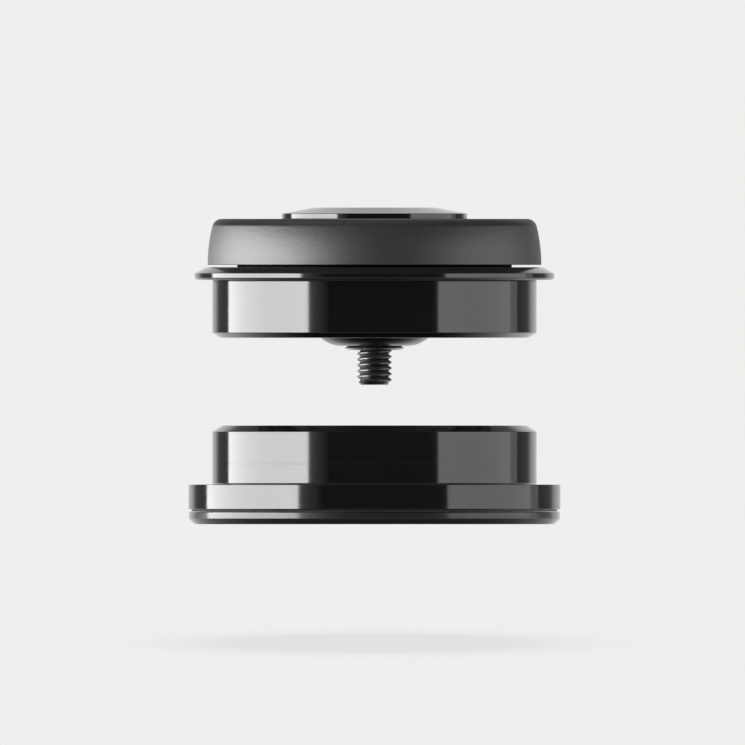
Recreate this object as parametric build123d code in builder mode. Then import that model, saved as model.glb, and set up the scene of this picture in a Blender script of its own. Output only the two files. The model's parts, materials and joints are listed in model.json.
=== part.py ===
from build123d import *
import math
import os

# A zero-stack bicycle headset: two press-in cups, two sealed bearings and the parts that ride on the fork.
# The steering axis is Z. The origin is on that axis, at the flange seat of the lower cup, where the end
# of the head tube lands. All sizes are millimetres.

os.makedirs("parts", exist_ok=True)

# Fork steerer and crown that the headset is made for
steerer_radius = 14.3
steerer_wall = 1.6
crown_seat_step = 0.1  # the crown seat is this much smaller than the bearing bore

# Head tube, measured between the two flange seats
seat_spacing = 35.3

# Balls and cage, the same in both bearings
ball_radius = 1.5875
ball_count = 18
ball_play = 0.05
pocket_play = 0.1
cage_rim = 0.5
cage_thickness = 0.5
cage_end_play = 0.4625

# Races and seals, the same in both bearings
inner_race_depth = 3.0  # bearing bore to ball circle
outer_race_depth = 2.95  # ball circle to bearing outside
race_bevel = 1.4  # 45 degree seat on the loaded corner of each race
race_edge = 0.25
high_land_gap = 0.55  # ball circle to the shoulder that carries load
low_land_gap = 1.0  # ball circle to the shoulder that carries none
seal_thickness = 0.7
seal_recess = 0.15
seal_play = 0.15
seal_fit = 0.02

# Cups
bearing_fit = 0.05
cup_wall = 2.0
shelf_width = 2.95
shelf_play = 0.2
shelf_thickness = 1.7
mouth_chamfer = 0.3
relief_depth = 0.25  # undercut in the flange face, round the press wall
relief_width = 0.8

# Upper cup
upper_skirt_height = 1.8
upper_skirt_land = 1.1
upper_lead_in_depth = 1.4
upper_lead_in_height = 0.9
upper_nose_radius = 0.8
upper_flange_overhang = 3.06
upper_rim_edge = 0.35
upper_rim_band = 0.8
upper_slope_rise = 1.05
upper_slope_run = 2.06
upper_bearing_sink = 1.5  # bearing top below the top of the flange

# Lower cup
lower_bearing_reach = 2.8  # bearing top above the flange seat
lower_skirt_height = 5.5
lower_skirt_land = 0.9
lower_lead_in_depth = 1.7
lower_lead_in_height = 1.1
lower_nose_radius = 0.7
lower_flange_overhang = 4.1
lower_flange_lip = 0.1  # flange below the bearing
lower_flange_edge = 0.08

# Compression ring
ring_wall = 5.5
ring_fit = 0.2
ring_drop = 4.0  # ring below the bearing top
ring_sink = 0.2  # ring top below the top of the flange
ring_head_overhang = 0.2
ring_edge = 0.4
ring_slit = 1.2
bevel_play = 0.07  # height between a 45 degree seat and the bevel on it

# Top cover and its two ring seals
cover_play = 0.1
cover_overhang = 0.8  # cover outside the press wall of the cup
cover_lift = 0.6  # lower edge of the cover above the hub
cover_height = 7.95
cover_side_radius = 27.4
cover_edge_radius = 1.75
cover_wall = 2.2
cover_roof = 2.2
cover_lower_edge = 0.06
o_ring_radius = 0.9
o_ring_fit = 0.05
o_ring_depth = 3.4  # top of the cover to the middle of the ring
lip_seal_wall = 2.1
lip_seal_height = 3.2
lip_seal_skirt = 0.4  # ring below the hub, before the lip starts
lip_play = 0.25
lip_tip = 0.35

# Top cap and its bolt
cap_rim = 1.7  # cap outside the steerer
cap_rim_height = 0.92
cap_rim_edge = 0.1
cap_crown_rise = 1.02
cap_crown_radius = 10.6
cap_crown_edge = 0.5
cap_floor = 2.4
cap_boss_wall = 2.4
spigot_play = 0.3
spigot_depth = 1.2
bolt_radius = 3.0
bolt_length = 27.0
bolt_hole_play = 0.1
bolt_tip_chamfer = 0.5
head_radius = 5.0
head_height = 3.3
head_edge = 0.4
head_sink = 0.3
head_play = 0.3
head_fit = 0.02
socket_width = 5.0
socket_depth = 2.2

# Star nut
thread_play = 0.05
thread_out = 6.0  # bolt below the barrel
barrel_wall = 1.55
barrel_shoulder = 0.8
swage_overhang = 0.58
swage_height = 0.7
swage_bevel = 0.6
star_thickness = 0.8
star_flat_radius = 5.6
star_bend_radius = 5.6
star_bend_angle = 45.0
star_bite = 0.25  # petals past the steerer bore
star_hole_fit = 0.05
star_spacing = 8.0
petal_count = 8
slot_width = 1.5
slot_start = 9.4

# Split race on the fork crown, and its seal
crown_gap = 0.25
crown_thickness = 2.3
crown_side_step = 0.1  # race inside the flange above it
crown_rim_cut = 0.4
crown_top_edge = 0.45
crown_bottom_edge = 0.95
crown_bore_edge = 0.6
crown_slit = 1.2
groove_land = 3.0  # bearing seat to the seal groove
groove_width = 1.8
groove_depth = 1.2
crown_lip_play = 0.03
crown_lip_width = 0.5
crown_lip_height = 0.2

# Radii worked out from the steerer outwards
steerer_bore = steerer_radius - steerer_wall
bearing_bore = steerer_radius + ring_wall + ring_fit
ball_circle = bearing_bore + inner_race_depth
bearing_outside = ball_circle + outer_race_depth
cup_bore = bearing_outside + bearing_fit
press_radius = cup_bore + cup_wall
cup_throat = bearing_outside - shelf_width
groove_radius = ball_radius + ball_play
groove_corner = groove_radius * (math.sqrt(2) - 1)

# Heights along the bearing
cage_half = ball_radius + pocket_play + cage_rim
bearing_half = cage_half + cage_end_play + seal_thickness + seal_recess
bearing_height = 2 * bearing_half
upper_flange_height = upper_rim_edge + upper_rim_band + upper_slope_rise
upper_bearing_top = upper_flange_height - upper_bearing_sink
upper_bearing_reach = bearing_height - upper_bearing_top
lower_flange_height = bearing_height - lower_bearing_reach + lower_flange_lip


def section(height, rising=True):
    """Half section on the steering axis: x is the radius and y the distance above, or below, a height."""
    return Plane(origin=(0, 0, height), x_dir=(1, 0, 0), z_dir=(0, -1 if rising else 1, 0))


def rim(piece, radius, height):
    """The circular edge of a turned piece that lies nearest to this radius and height."""
    circles = piece.edges().filter_by(GeomType.CIRCLE)
    return circles.sort_by(lambda e: abs(e.radius - radius) + abs(e.arc_center.Z - height))[0]


def press_points(bearing_reach, skirt_height, skirt_land, lead_in_depth, lead_in_height):
    """Cup inside the head tube, from the bearing bore round to the flange corner; y is the depth."""
    shelf = bearing_reach + shelf_play
    under_shelf = shelf + shelf_thickness
    end = under_shelf + skirt_height
    nose_radius = press_radius - lead_in_depth
    return [
        (cup_bore, bearing_reach - race_bevel),
        (cup_bore - race_bevel - shelf_play, shelf),
        (cup_throat, shelf),
        (cup_throat, under_shelf),
        (nose_radius - skirt_land, under_shelf),
        (nose_radius - skirt_land, end),
        (nose_radius, end),
        (press_radius, end - lead_in_height),
        (press_radius, -relief_depth),
        (press_radius + relief_width, -relief_depth),
        (press_radius + relief_width, 0),
    ]


# Upper cup: a thin flange with a sloping top, drawn with y running down into the head tube
upper_rim_radius = press_radius + upper_flange_overhang
upper_press_length = upper_bearing_reach + shelf_play + shelf_thickness + upper_skirt_height
with BuildPart() as upper_cup:
    with BuildSketch(section(seat_spacing, rising=False)):
        with BuildLine():
            Polyline(
                (cup_bore + mouth_chamfer, -upper_flange_height),
                (cup_bore, mouth_chamfer - upper_flange_height),
                *press_points(
                    upper_bearing_reach,
                    upper_skirt_height,
                    upper_skirt_land,
                    upper_lead_in_depth,
                    upper_lead_in_height,
                ),
                (upper_rim_radius - upper_rim_edge, 0),
                (upper_rim_radius, -upper_rim_edge),
                (upper_rim_radius, -upper_rim_edge - upper_rim_band),
                (upper_rim_radius - upper_slope_run, -upper_flange_height),
                close=True,
            )
        make_face()
    revolve(axis=Axis.Z)
    upper_nose = rim(upper_cup, press_radius - upper_lead_in_depth, seat_spacing - upper_press_length)
    fillet(upper_nose, upper_nose_radius)
upper_cup.part.label = "upper_cup"
export_step(upper_cup.part, "parts/upper_cup.step")

# Lower cup: a thick flange that holds most of the bearing, drawn with y running up into the head tube
lower_flange_radius = press_radius + lower_flange_overhang
lower_press_length = lower_bearing_reach + shelf_play + shelf_thickness + lower_skirt_height
with BuildPart() as lower_cup:
    with BuildSketch(section(0)):
        with BuildLine():
            Polyline(
                (cup_bore + mouth_chamfer, -lower_flange_height),
                (cup_bore, mouth_chamfer - lower_flange_height),
                *press_points(
                    lower_bearing_reach,
                    lower_skirt_height,
                    lower_skirt_land,
                    lower_lead_in_depth,
                    lower_lead_in_height,
                ),
                (lower_flange_radius - lower_flange_edge, 0),
                (lower_flange_radius, -lower_flange_edge),
                (lower_flange_radius, lower_flange_edge - lower_flange_height),
                (lower_flange_radius - lower_flange_edge, -lower_flange_height),
                close=True,
            )
        make_face()
    revolve(axis=Axis.Z)
    lower_nose = rim(lower_cup, press_radius - lower_lead_in_depth, lower_press_length)
    fillet(lower_nose, lower_nose_radius)
lower_cup.part.label = "lower_cup"
export_step(lower_cup.part, "parts/lower_cup.step")


def make_bearing(end, middle, rising, deep_side, open_side):
    """One angular contact bearing, its ball circle at a height; y runs towards the middle of the head tube.

    The inner race is bevelled at the open side of the cup and the outer race at the deep side, and the
    raceways are 45 degree flats around the balls.
    """
    inner_high = ball_circle - high_land_gap
    inner_low = ball_circle - low_land_gap
    outer_high = ball_circle + high_land_gap
    outer_low = ball_circle + low_land_gap
    high_start = groove_radius * math.sqrt(2) - high_land_gap
    low_start = groove_radius * math.sqrt(2) - low_land_gap
    half_section = section(middle, rising)

    with BuildPart() as inner_race:
        with BuildSketch(half_section):
            with BuildLine():
                Polyline(
                    (bearing_bore + race_bevel, -bearing_half),
                    (inner_high, -bearing_half),
                    (inner_high, -high_start),
                    (ball_circle - groove_radius, -groove_corner),
                    (ball_circle - groove_radius, groove_corner),
                    (inner_low, low_start),
                    (inner_low, bearing_half),
                    (bearing_bore + race_edge, bearing_half),
                    (bearing_bore, bearing_half - race_edge),
                    (bearing_bore, race_bevel - bearing_half),
                    close=True,
                )
            make_face()
        revolve(axis=Axis.Z)

    with BuildPart() as outer_race:
        with BuildSketch(half_section):
            with BuildLine():
                Polyline(
                    (bearing_outside - race_bevel, bearing_half),
                    (outer_high, bearing_half),
                    (outer_high, high_start),
                    (ball_circle + groove_radius, groove_corner),
                    (ball_circle + groove_radius, -groove_corner),
                    (outer_low, -low_start),
                    (outer_low, -bearing_half),
                    (bearing_outside - race_edge, -bearing_half),
                    (bearing_outside, race_edge - bearing_half),
                    (bearing_outside, bearing_half - race_bevel),
                    close=True,
                )
            make_face()
        revolve(axis=Axis.Z)

    with BuildPart(Plane.XY.offset(middle)) as balls:
        with PolarLocations(ball_circle, ball_count):
            Sphere(ball_radius)

    with BuildPart(Plane.XY.offset(middle)) as cage:
        with BuildSketch(Plane.XY.offset(middle - cage_half)):
            Circle(ball_circle + cage_thickness / 2)
            Circle(ball_circle - cage_thickness / 2, mode=Mode.SUBTRACT)
        extrude(amount=2 * cage_half)
        with PolarLocations(ball_circle, ball_count):
            Cylinder(ball_radius + pocket_play, 4 * cage_thickness, rotation=(0, 90, 0), mode=Mode.SUBTRACT)

    seal_outer_face = bearing_half - seal_recess
    seal_inner_face = seal_outer_face - seal_thickness
    with BuildPart() as deep_seal:
        with BuildSketch(half_section):
            with BuildLine():
                Polyline(
                    (inner_low + seal_play, seal_inner_face),
                    (outer_high - seal_fit, seal_inner_face),
                    (outer_high - seal_fit, seal_outer_face),
                    (inner_low + seal_play, seal_outer_face),
                    close=True,
                )
            make_face()
        revolve(axis=Axis.Z)

    with BuildPart() as open_seal:
        with BuildSketch(half_section):
            with BuildLine():
                Polyline(
                    (inner_high + seal_play, -seal_inner_face),
                    (outer_low - seal_fit, -seal_inner_face),
                    (outer_low - seal_fit, -seal_outer_face),
                    (inner_high + seal_play, -seal_outer_face),
                    close=True,
                )
            make_face()
        revolve(axis=Axis.Z)

    pieces = {
        "inner_race": inner_race,
        "outer_race": outer_race,
        "balls": balls,
        "cage": cage,
        f"{deep_side}_seal": deep_seal,
        f"{open_side}_seal": open_seal,
    }
    for piece_name, piece in pieces.items():
        piece.part.label = f"{end}_bearing_{piece_name}"
        export_step(piece.part, f"parts/{end}_bearing_{piece_name}.step")


upper_bearing_middle = seat_spacing + upper_bearing_top - bearing_half
lower_bearing_middle = lower_bearing_reach - bearing_half
make_bearing("upper", upper_bearing_middle, rising=False, deep_side="bottom", open_side="top")
make_bearing("lower", lower_bearing_middle, rising=True, deep_side="top", open_side="bottom")

# Compression ring: split wedge that centres the steerer in the upper bearing
ring_radius = bearing_bore - ring_fit
ring_head_radius = bearing_bore + race_bevel + ring_head_overhang
ring_bottom = upper_bearing_top - ring_drop
ring_top = upper_flange_height - ring_sink
ring_bevel_start = upper_bearing_top - race_bevel + bevel_play - ring_fit
ring_bevel_end = upper_bearing_top + bevel_play + ring_head_overhang
with BuildPart() as compression_ring:
    with BuildSketch(section(seat_spacing)):
        with BuildLine():
            Polyline(
                (steerer_radius, ring_bottom),
                (ring_radius - ring_edge, ring_bottom),
                (ring_radius, ring_bottom + ring_edge),
                (ring_radius, ring_bevel_start),
                (ring_head_radius, ring_bevel_end),
                (ring_head_radius, ring_top),
                (steerer_radius, ring_top),
                close=True,
            )
        make_face()
    revolve(axis=Axis.Z)
    with BuildSketch(Plane.XY.offset(seat_spacing + ring_top)):
        with Locations((0, ring_head_radius)):
            Rectangle(ring_slit, 2 * (ring_head_radius - steerer_radius) + ring_slit)
    extrude(amount=ring_bottom - ring_top, mode=Mode.SUBTRACT)
compression_ring.part.label = "compression_ring"
export_step(compression_ring.part, "parts/compression_ring.step")

# Top cover: domed side, hollow below, its hub standing on the compression ring
cover_radius = press_radius + cover_overhang
cover_bottom = ring_top + cover_lift
cover_top = cover_bottom + cover_height
cover_bore = steerer_radius + cover_play
hub_radius = ring_head_radius
o_ring_middle = steerer_radius + o_ring_radius
o_ring_height = cover_top - o_ring_depth
groove_half = o_ring_radius + o_ring_fit
side_sweep = math.degrees(math.asin((cover_height - cover_lower_edge) / cover_side_radius))
with BuildPart() as top_cover:
    with BuildSketch(section(seat_spacing)):
        with BuildLine():
            side = JernArc(
                start=(cover_radius, cover_bottom + cover_lower_edge),
                tangent=(0, 1),
                radius=cover_side_radius,
                arc_size=side_sweep,
            )
            Polyline(
                side @ 1,
                (cover_bore, cover_top),
                (cover_bore, o_ring_height + groove_half),
                (o_ring_middle + groove_half, o_ring_height + groove_half),
                (o_ring_middle + groove_half, o_ring_height - groove_half),
                (cover_bore, o_ring_height - groove_half),
                (cover_bore, ring_top),
                (hub_radius, ring_top),
                (hub_radius, cover_top - cover_roof),
                (cover_radius - cover_wall, cover_top - cover_roof),
                (cover_radius - cover_wall, cover_bottom),
                (cover_radius - cover_lower_edge, cover_bottom),
                side @ 0,
            )
        make_face()
    revolve(axis=Axis.Z)
    cover_rim = rim(top_cover, (side @ 1).X, seat_spacing + cover_top)
    fillet(cover_rim, cover_edge_radius)
top_cover.part.label = "top_cover"
export_step(top_cover.part, "parts/top_cover.step")

# O-ring in the bore of the cover
with BuildPart() as cover_o_ring:
    with BuildSketch(section(seat_spacing)):
        with Locations((o_ring_middle, o_ring_height)):
            Circle(o_ring_radius)
    revolve(axis=Axis.Z)
cover_o_ring.part.label = "cover_o_ring"
export_step(cover_o_ring.part, "parts/cover_o_ring.step")

# Lip seal: rubber ring on the hub of the cover, its lip reaching out to the wall of the cup
lip_seal_bore = hub_radius + seal_fit
lip_seal_radius = hub_radius + lip_seal_wall
lip_radius = cup_bore - lip_play
lip_bottom = upper_bearing_top + lip_play
with BuildPart() as cover_lip_seal:
    with BuildSketch(section(seat_spacing)):
        with BuildLine():
            Polyline(
                (lip_seal_bore, ring_top + lip_seal_height),
                (lip_seal_bore, ring_top - lip_seal_skirt),
                (lip_seal_radius - lip_tip, ring_top - lip_seal_skirt),
                (lip_radius - lip_tip, lip_bottom),
                (lip_radius, lip_bottom + lip_tip),
                (lip_seal_radius, ring_top),
                (lip_seal_radius, ring_top + lip_seal_height),
                close=True,
            )
        make_face()
    revolve(axis=Axis.Z)
cover_lip_seal.part.label = "cover_lip_seal"
export_step(cover_lip_seal.part, "parts/cover_lip_seal.step")

# Top cap: shallow cone on the cover, with a spigot for the steerer and a pocket for the bolt head
cap_radius = steerer_radius + cap_rim
cap_shoulder = cover_top + cap_rim_height
cap_top = cap_shoulder + cap_crown_rise
pocket_radius = head_radius + head_play
pocket_floor = cap_top - head_height - head_sink
boss_radius = pocket_radius + cap_boss_wall
boss_bottom = pocket_floor - cap_floor
spigot_radius = steerer_bore - spigot_play
bolt_hole_radius = bolt_radius + bolt_hole_play
with BuildPart() as top_cap:
    with BuildSketch(section(seat_spacing)):
        with BuildLine():
            Polyline(
                (bolt_hole_radius, pocket_floor),
                (pocket_radius, pocket_floor),
                (pocket_radius, cap_top),
                (cap_crown_radius, cap_top),
                (cap_radius, cap_shoulder),
                (cap_radius, cover_top),
                (spigot_radius, cover_top),
                (spigot_radius, cover_top - spigot_depth),
                (boss_radius, cover_top - spigot_depth),
                (boss_radius, boss_bottom),
                (bolt_hole_radius, boss_bottom),
                close=True,
            )
        make_face()
    revolve(axis=Axis.Z)
    fillet(rim(top_cap, cap_radius, seat_spacing + cap_shoulder), cap_rim_edge)
    fillet(rim(top_cap, cap_crown_radius, seat_spacing + cap_top), cap_crown_edge)
top_cap.part.label = "top_cap"
export_step(top_cap.part, "parts/top_cap.step")

# Preload bolt: cylinder head with a hexagon socket, drawn at the major diameter of its M6 thread
bolt_seat = pocket_floor + head_fit
bolt_end = bolt_seat - bolt_length
with BuildPart() as cap_bolt:
    with BuildSketch(section(seat_spacing)):
        with BuildLine():
            Polyline(
                (0, bolt_seat + head_height),
                (head_radius - head_edge, bolt_seat + head_height),
                (head_radius, bolt_seat + head_height - head_edge),
                (head_radius, bolt_seat),
                (bolt_radius, bolt_seat),
                (bolt_radius, bolt_end + bolt_tip_chamfer),
                (bolt_radius - bolt_tip_chamfer, bolt_end),
                (0, bolt_end),
                close=True,
            )
        make_face()
    revolve(axis=Axis.Z)
    with BuildSketch(Plane.XY.offset(seat_spacing + bolt_seat + head_height)):
        RegularPolygon(socket_width / 2, 6, major_radius=False)
    extrude(amount=-socket_depth, mode=Mode.SUBTRACT)
cap_bolt.part.label = "cap_bolt"
export_step(cap_bolt.part, "parts/cap_bolt.step")

# Star nut barrel: tube with a shoulder between the two stars and a swaged lip outside each
barrel_bottom = bolt_end + thread_out
lower_star_height = barrel_bottom + swage_height
upper_star_height = lower_star_height + star_spacing
upper_swage_bottom = upper_star_height + star_thickness
barrel_bore = bolt_radius + thread_play
barrel_radius = barrel_bore + barrel_wall
shoulder_radius = barrel_radius + barrel_shoulder
swage_radius = barrel_radius + swage_overhang
with BuildPart() as star_nut_barrel:
    with BuildSketch(section(seat_spacing)):
        with BuildLine():
            Polyline(
                (barrel_bore, barrel_bottom),
                (swage_radius - swage_bevel, barrel_bottom),
                (swage_radius, lower_star_height - swage_height / 2),
                (barrel_radius, lower_star_height),
                (barrel_radius, lower_star_height + star_thickness),
                (shoulder_radius, lower_star_height + star_thickness),
                (shoulder_radius, upper_star_height),
                (barrel_radius, upper_star_height),
                (barrel_radius, upper_swage_bottom),
                (swage_radius, upper_swage_bottom + swage_height / 2),
                (swage_radius - swage_bevel, upper_swage_bottom + swage_height),
                (barrel_bore, upper_swage_bottom + swage_height),
                close=True,
            )
        make_face()
    revolve(axis=Axis.Z)
star_nut_barrel.part.label = "star_nut_barrel"
export_step(star_nut_barrel.part, "parts/star_nut_barrel.step")

# Star washers: dished spring steel with petals that bite into the steerer
star_radius = steerer_bore + star_bite
star_hole = barrel_radius + star_hole_fit
bend_sine = math.sin(math.radians(star_bend_angle))
petal_run = star_radius - star_flat_radius - star_bend_radius * bend_sine
slot_length = star_radius - slot_start + slot_width
for star_name, star_height in (("lower", lower_star_height), ("upper", upper_star_height)):
    with BuildPart() as star_washer:
        with BuildSketch(section(seat_spacing + star_height)):
            with BuildLine():
                flat = Line((star_hole, 0), (star_flat_radius, 0))
                bend = JernArc(flat @ 1, flat % 1, star_bend_radius, star_bend_angle)
                petal = Line(bend @ 1, bend @ 1 + bend % 1 * (petal_run / math.cos(math.radians(star_bend_angle))))
                offset(amount=star_thickness, side=Side.LEFT)
            make_face()
        revolve(axis=Axis.Z)
        star_top = star_washer.part.bounding_box().max.Z
        with BuildSketch(Plane.XY.offset(star_top)):
            with PolarLocations(slot_start + slot_length / 2, petal_count, start_angle=180 / petal_count):
                SlotOverall(slot_length, slot_width)
        extrude(amount=seat_spacing + star_height - star_top, mode=Mode.SUBTRACT)
    star_washer.part.label = f"star_washer_{star_name}"
    export_step(star_washer.part, f"parts/star_washer_{star_name}.step")

# Split race: ring on the fork crown, its 45 degree cone seating in the lower bearing
crown_seat_radius = bearing_bore - crown_seat_step
crown_radius = lower_flange_radius - crown_side_step
crown_top = -lower_flange_height - crown_gap
crown_bottom = crown_top - crown_thickness
crown_cone_tip = lower_bearing_reach - bearing_height + race_bevel - bevel_play
crown_rim_top = crown_cone_tip - crown_rim_cut
groove_inside = cup_bore + groove_land
groove_outside = groove_inside + groove_width
with BuildPart() as crown_race:
    with BuildSketch(section(0)):
        with BuildLine():
            Polyline(
                (crown_seat_radius, crown_bottom + crown_bore_edge),
                (crown_seat_radius, crown_rim_top),
                (bearing_bore + crown_rim_cut, crown_rim_top),
                (bearing_bore + crown_cone_tip - crown_top, crown_top),
                (groove_inside, crown_top),
                (groove_inside, crown_top - groove_depth),
                (groove_outside, crown_top - groove_depth),
                (groove_outside, crown_top),
                (crown_radius, crown_top),
                (crown_radius, crown_bottom + crown_bottom_edge),
                (crown_radius - crown_bottom_edge, crown_bottom),
                (crown_seat_radius + crown_bore_edge, crown_bottom),
                close=True,
            )
        make_face()
    revolve(axis=Axis.Z)
    fillet(rim(crown_race, crown_radius, crown_top), crown_top_edge)
    with BuildSketch(Plane.XY.offset(crown_rim_top)):
        with Locations((0, crown_radius)):
            Rectangle(crown_slit, 2 * (crown_radius - crown_seat_radius) + crown_slit)
    extrude(amount=crown_bottom - crown_rim_top, mode=Mode.SUBTRACT)
crown_race.part.label = "crown_race"
export_step(crown_race.part, "parts/crown_race.step")

# Lip seal of the crown race: rubber ring in the groove, its lip just under the flange of the lower cup
crown_lip_top = -lower_flange_height - crown_lip_play
crown_lip_inside = (groove_inside + groove_outside - crown_lip_width) / 2
with BuildPart() as crown_lip_seal:
    with BuildSketch(section(0)):
        with BuildLine():
            Polyline(
                (groove_inside + seal_fit, crown_top - groove_depth + seal_fit),
                (groove_outside - seal_fit, crown_top - groove_depth + seal_fit),
                (groove_outside - seal_fit, crown_lip_top - crown_lip_height),
                (crown_lip_inside + crown_lip_width, crown_lip_top),
                (crown_lip_inside, crown_lip_top),
                (groove_inside + seal_fit, crown_lip_top - crown_lip_height),
                close=True,
            )
        make_face()
    revolve(axis=Axis.Z)
crown_lip_seal.part.label = "crown_lip_seal"
export_step(crown_lip_seal.part, "parts/crown_lip_seal.step")

print("press radius", press_radius)
print("height", round(seat_spacing + cap_top - crown_bottom, 3))
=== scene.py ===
# %% [markdown]
# # A zero-stack bicycle headset in a small studio
#
# A headset is the pair of bearings that a fork turns in. This one is a stack of turned rings: two
# cups that are pressed into the head tube, a cover and a cap above, and a split ring for the fork
# below. The solids come from CAD, and this file dresses them: finer edges, a real thread, finishes,
# light and a camera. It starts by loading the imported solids, which are in metres and stay where
# they are.

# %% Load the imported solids
import json
import math

import bmesh
import bpy
from mathutils import Matrix, Vector

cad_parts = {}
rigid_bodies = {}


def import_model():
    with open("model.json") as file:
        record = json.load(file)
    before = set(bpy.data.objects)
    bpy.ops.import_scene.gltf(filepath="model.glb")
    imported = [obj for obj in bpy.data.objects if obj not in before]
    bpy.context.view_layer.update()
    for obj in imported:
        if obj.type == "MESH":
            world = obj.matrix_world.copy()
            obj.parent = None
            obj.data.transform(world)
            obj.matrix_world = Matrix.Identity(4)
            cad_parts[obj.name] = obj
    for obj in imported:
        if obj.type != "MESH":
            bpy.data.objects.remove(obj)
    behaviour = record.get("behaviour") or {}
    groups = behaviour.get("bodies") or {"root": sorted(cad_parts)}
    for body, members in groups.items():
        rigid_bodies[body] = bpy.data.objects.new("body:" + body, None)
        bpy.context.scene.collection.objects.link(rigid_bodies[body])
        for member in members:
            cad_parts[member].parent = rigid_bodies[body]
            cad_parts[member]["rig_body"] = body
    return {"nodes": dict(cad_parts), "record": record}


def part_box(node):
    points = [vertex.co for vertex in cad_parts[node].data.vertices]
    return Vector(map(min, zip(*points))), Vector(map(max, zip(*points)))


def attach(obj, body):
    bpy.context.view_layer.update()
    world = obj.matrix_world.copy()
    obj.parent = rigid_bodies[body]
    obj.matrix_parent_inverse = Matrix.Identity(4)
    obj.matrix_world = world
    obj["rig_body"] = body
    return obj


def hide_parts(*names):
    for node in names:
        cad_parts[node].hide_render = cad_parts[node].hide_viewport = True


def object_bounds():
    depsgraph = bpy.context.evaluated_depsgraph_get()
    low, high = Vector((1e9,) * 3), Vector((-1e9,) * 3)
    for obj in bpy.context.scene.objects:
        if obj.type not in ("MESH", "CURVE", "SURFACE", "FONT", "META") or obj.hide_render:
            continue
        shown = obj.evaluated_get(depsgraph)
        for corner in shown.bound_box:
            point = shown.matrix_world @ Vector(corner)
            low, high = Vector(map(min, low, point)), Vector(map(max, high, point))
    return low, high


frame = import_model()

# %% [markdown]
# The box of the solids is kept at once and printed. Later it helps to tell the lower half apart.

MM = 0.001
cad_low, cad_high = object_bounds()
print("CAD box in mm:", [round(side / MM, 2) for side in cad_high - cad_low])

# %% [markdown]
# ## Turned rings from their own section
#
# A lathe makes a ring by moving a tool along its section while the blank spins. The same idea works
# here. A copy of the solid's mesh is cut by the plane through its axis, which leaves the outline of
# the section. A CAD corner is perfectly sharp, and no real edge is, so each corner of the outline is
# bevelled into a small arc while it is still flat, which is far easier than bevelling a finished
# ring. Then the outline is spun about the axis. Typing the outline in again would also work, but it
# would no longer follow the solid when a size changes.

# %% Cut the outline of a section out of a solid
MERGE = 0.0005 * MM
STRAIGHT = math.radians(0.3)


def only_edges(geometry):
    """The edges among the points, edges and faces that an operator gives back."""
    return [part for part in geometry if isinstance(part, bmesh.types.BMEdge)]


def cut_plane(bm, point, direction, **options):
    """Cut a bmesh along a plane, and give back the points and edges of the cut."""
    everything = bm.verts[:] + bm.edges[:] + bm.faces[:]
    cut = bmesh.ops.bisect_plane(
        bm, geom=everything, dist=MERGE, plane_co=point, plane_no=direction, **options
    )
    return cut["geom_cut"]


def section_outline(node):
    """The outline of a turned solid in the XZ plane, on the +X side, as one flat face."""
    bm = bmesh.new()
    bm.from_mesh(frame["nodes"][node].data)
    bmesh.ops.remove_doubles(bm, verts=bm.verts, dist=MERGE)
    cut = only_edges(cut_plane(bm, (0, 0, 0), (0, 1, 0)))
    outline = {edge for edge in cut if edge.verts[0].co.x + edge.verts[1].co.x > 0}
    bmesh.ops.delete(bm, geom=[edge for edge in bm.edges if edge not in outline], context="EDGES")
    bmesh.ops.delete(bm, geom=[vert for vert in bm.verts if not vert.link_edges], context="VERTS")
    bmesh.ops.contextual_create(bm, geom=bm.edges[:])
    straight = [vert for vert in bm.verts if vert.calc_edge_angle() < STRAIGHT]
    bmesh.ops.dissolve_verts(bm, verts=straight)
    return bm


# %% [markdown]
# A groove is cut while the outline is still flat, too. Three level cuts put new points on the wall,
# and the middle one is pushed in, as the tip of a tool would. The cuts get the points and edges
# alone, so the face stays in one piece.

# %% Cut a groove into the wall of an outline
ON_THE_SPOT = 10 * MERGE


def cut_groove(bm, radius, height, half_width, depth):
    """A V groove in the wall at a radius, around a height."""
    for level in (height - half_width, height, height + half_width):
        line = bm.verts[:] + bm.edges[:]
        bmesh.ops.bisect_plane(
            bm, geom=line, dist=MERGE, plane_co=(0, 0, level), plane_no=(0, 0, 1)
        )
    for vert in bm.verts:
        if abs(vert.co.x - radius) < ON_THE_SPOT and abs(vert.co.z - height) < ON_THE_SPOT:
            vert.co.x -= depth


# %% [markdown]
# A corner that turns by more than 20 degrees is a real edge of the part. Smaller turns are steps
# along a curve and stay. The points inside each new arc are marked in an attribute called edge, so
# that a finish can show wear there later. The two ends of an arc are left unmarked: they belong to
# the walls as well, and a mark on them would spread over the whole wall.

# %% Round the corners of an outline
CORNER = math.radians(20)
CORNER_SHARE = 0.4  # how much of the edge beside it an arc may use up
ARC_STEPS = 4


def round_corners(bm, radius):
    """Bevel each sharp corner of the outline, by less where the edges beside it are short."""
    worn = bm.verts.layers.float.new("edge")
    corners = [vert for vert in bm.verts if vert.calc_edge_angle() > CORNER]
    shortest = [min(edge.calc_length() for edge in vert.link_edges) for vert in corners]
    for corner, length in zip(corners, shortest):
        rounded = bmesh.ops.bevel(
            bm,
            geom=[corner],
            offset=min(radius, CORNER_SHARE * length),
            offset_type="OFFSET",
            segments=ARC_STEPS,
            profile=0.5,
            affect="VERTICES",
            material=-1,
        )
        arc = set(rounded["verts"])
        for vert in arc:
            if all(edge.other_vert(vert) in arc for edge in vert.link_edges):
                vert[worn] = 1.0
    return len(corners)


# %% [markdown]
# The flat face has done its work, so only its edges are spun. The spin can leave the ring inside
# out, so its normals are recalculated once the doubled points at the seam are merged.

# %% Spin an outline
TURN_STEPS = 192


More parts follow.
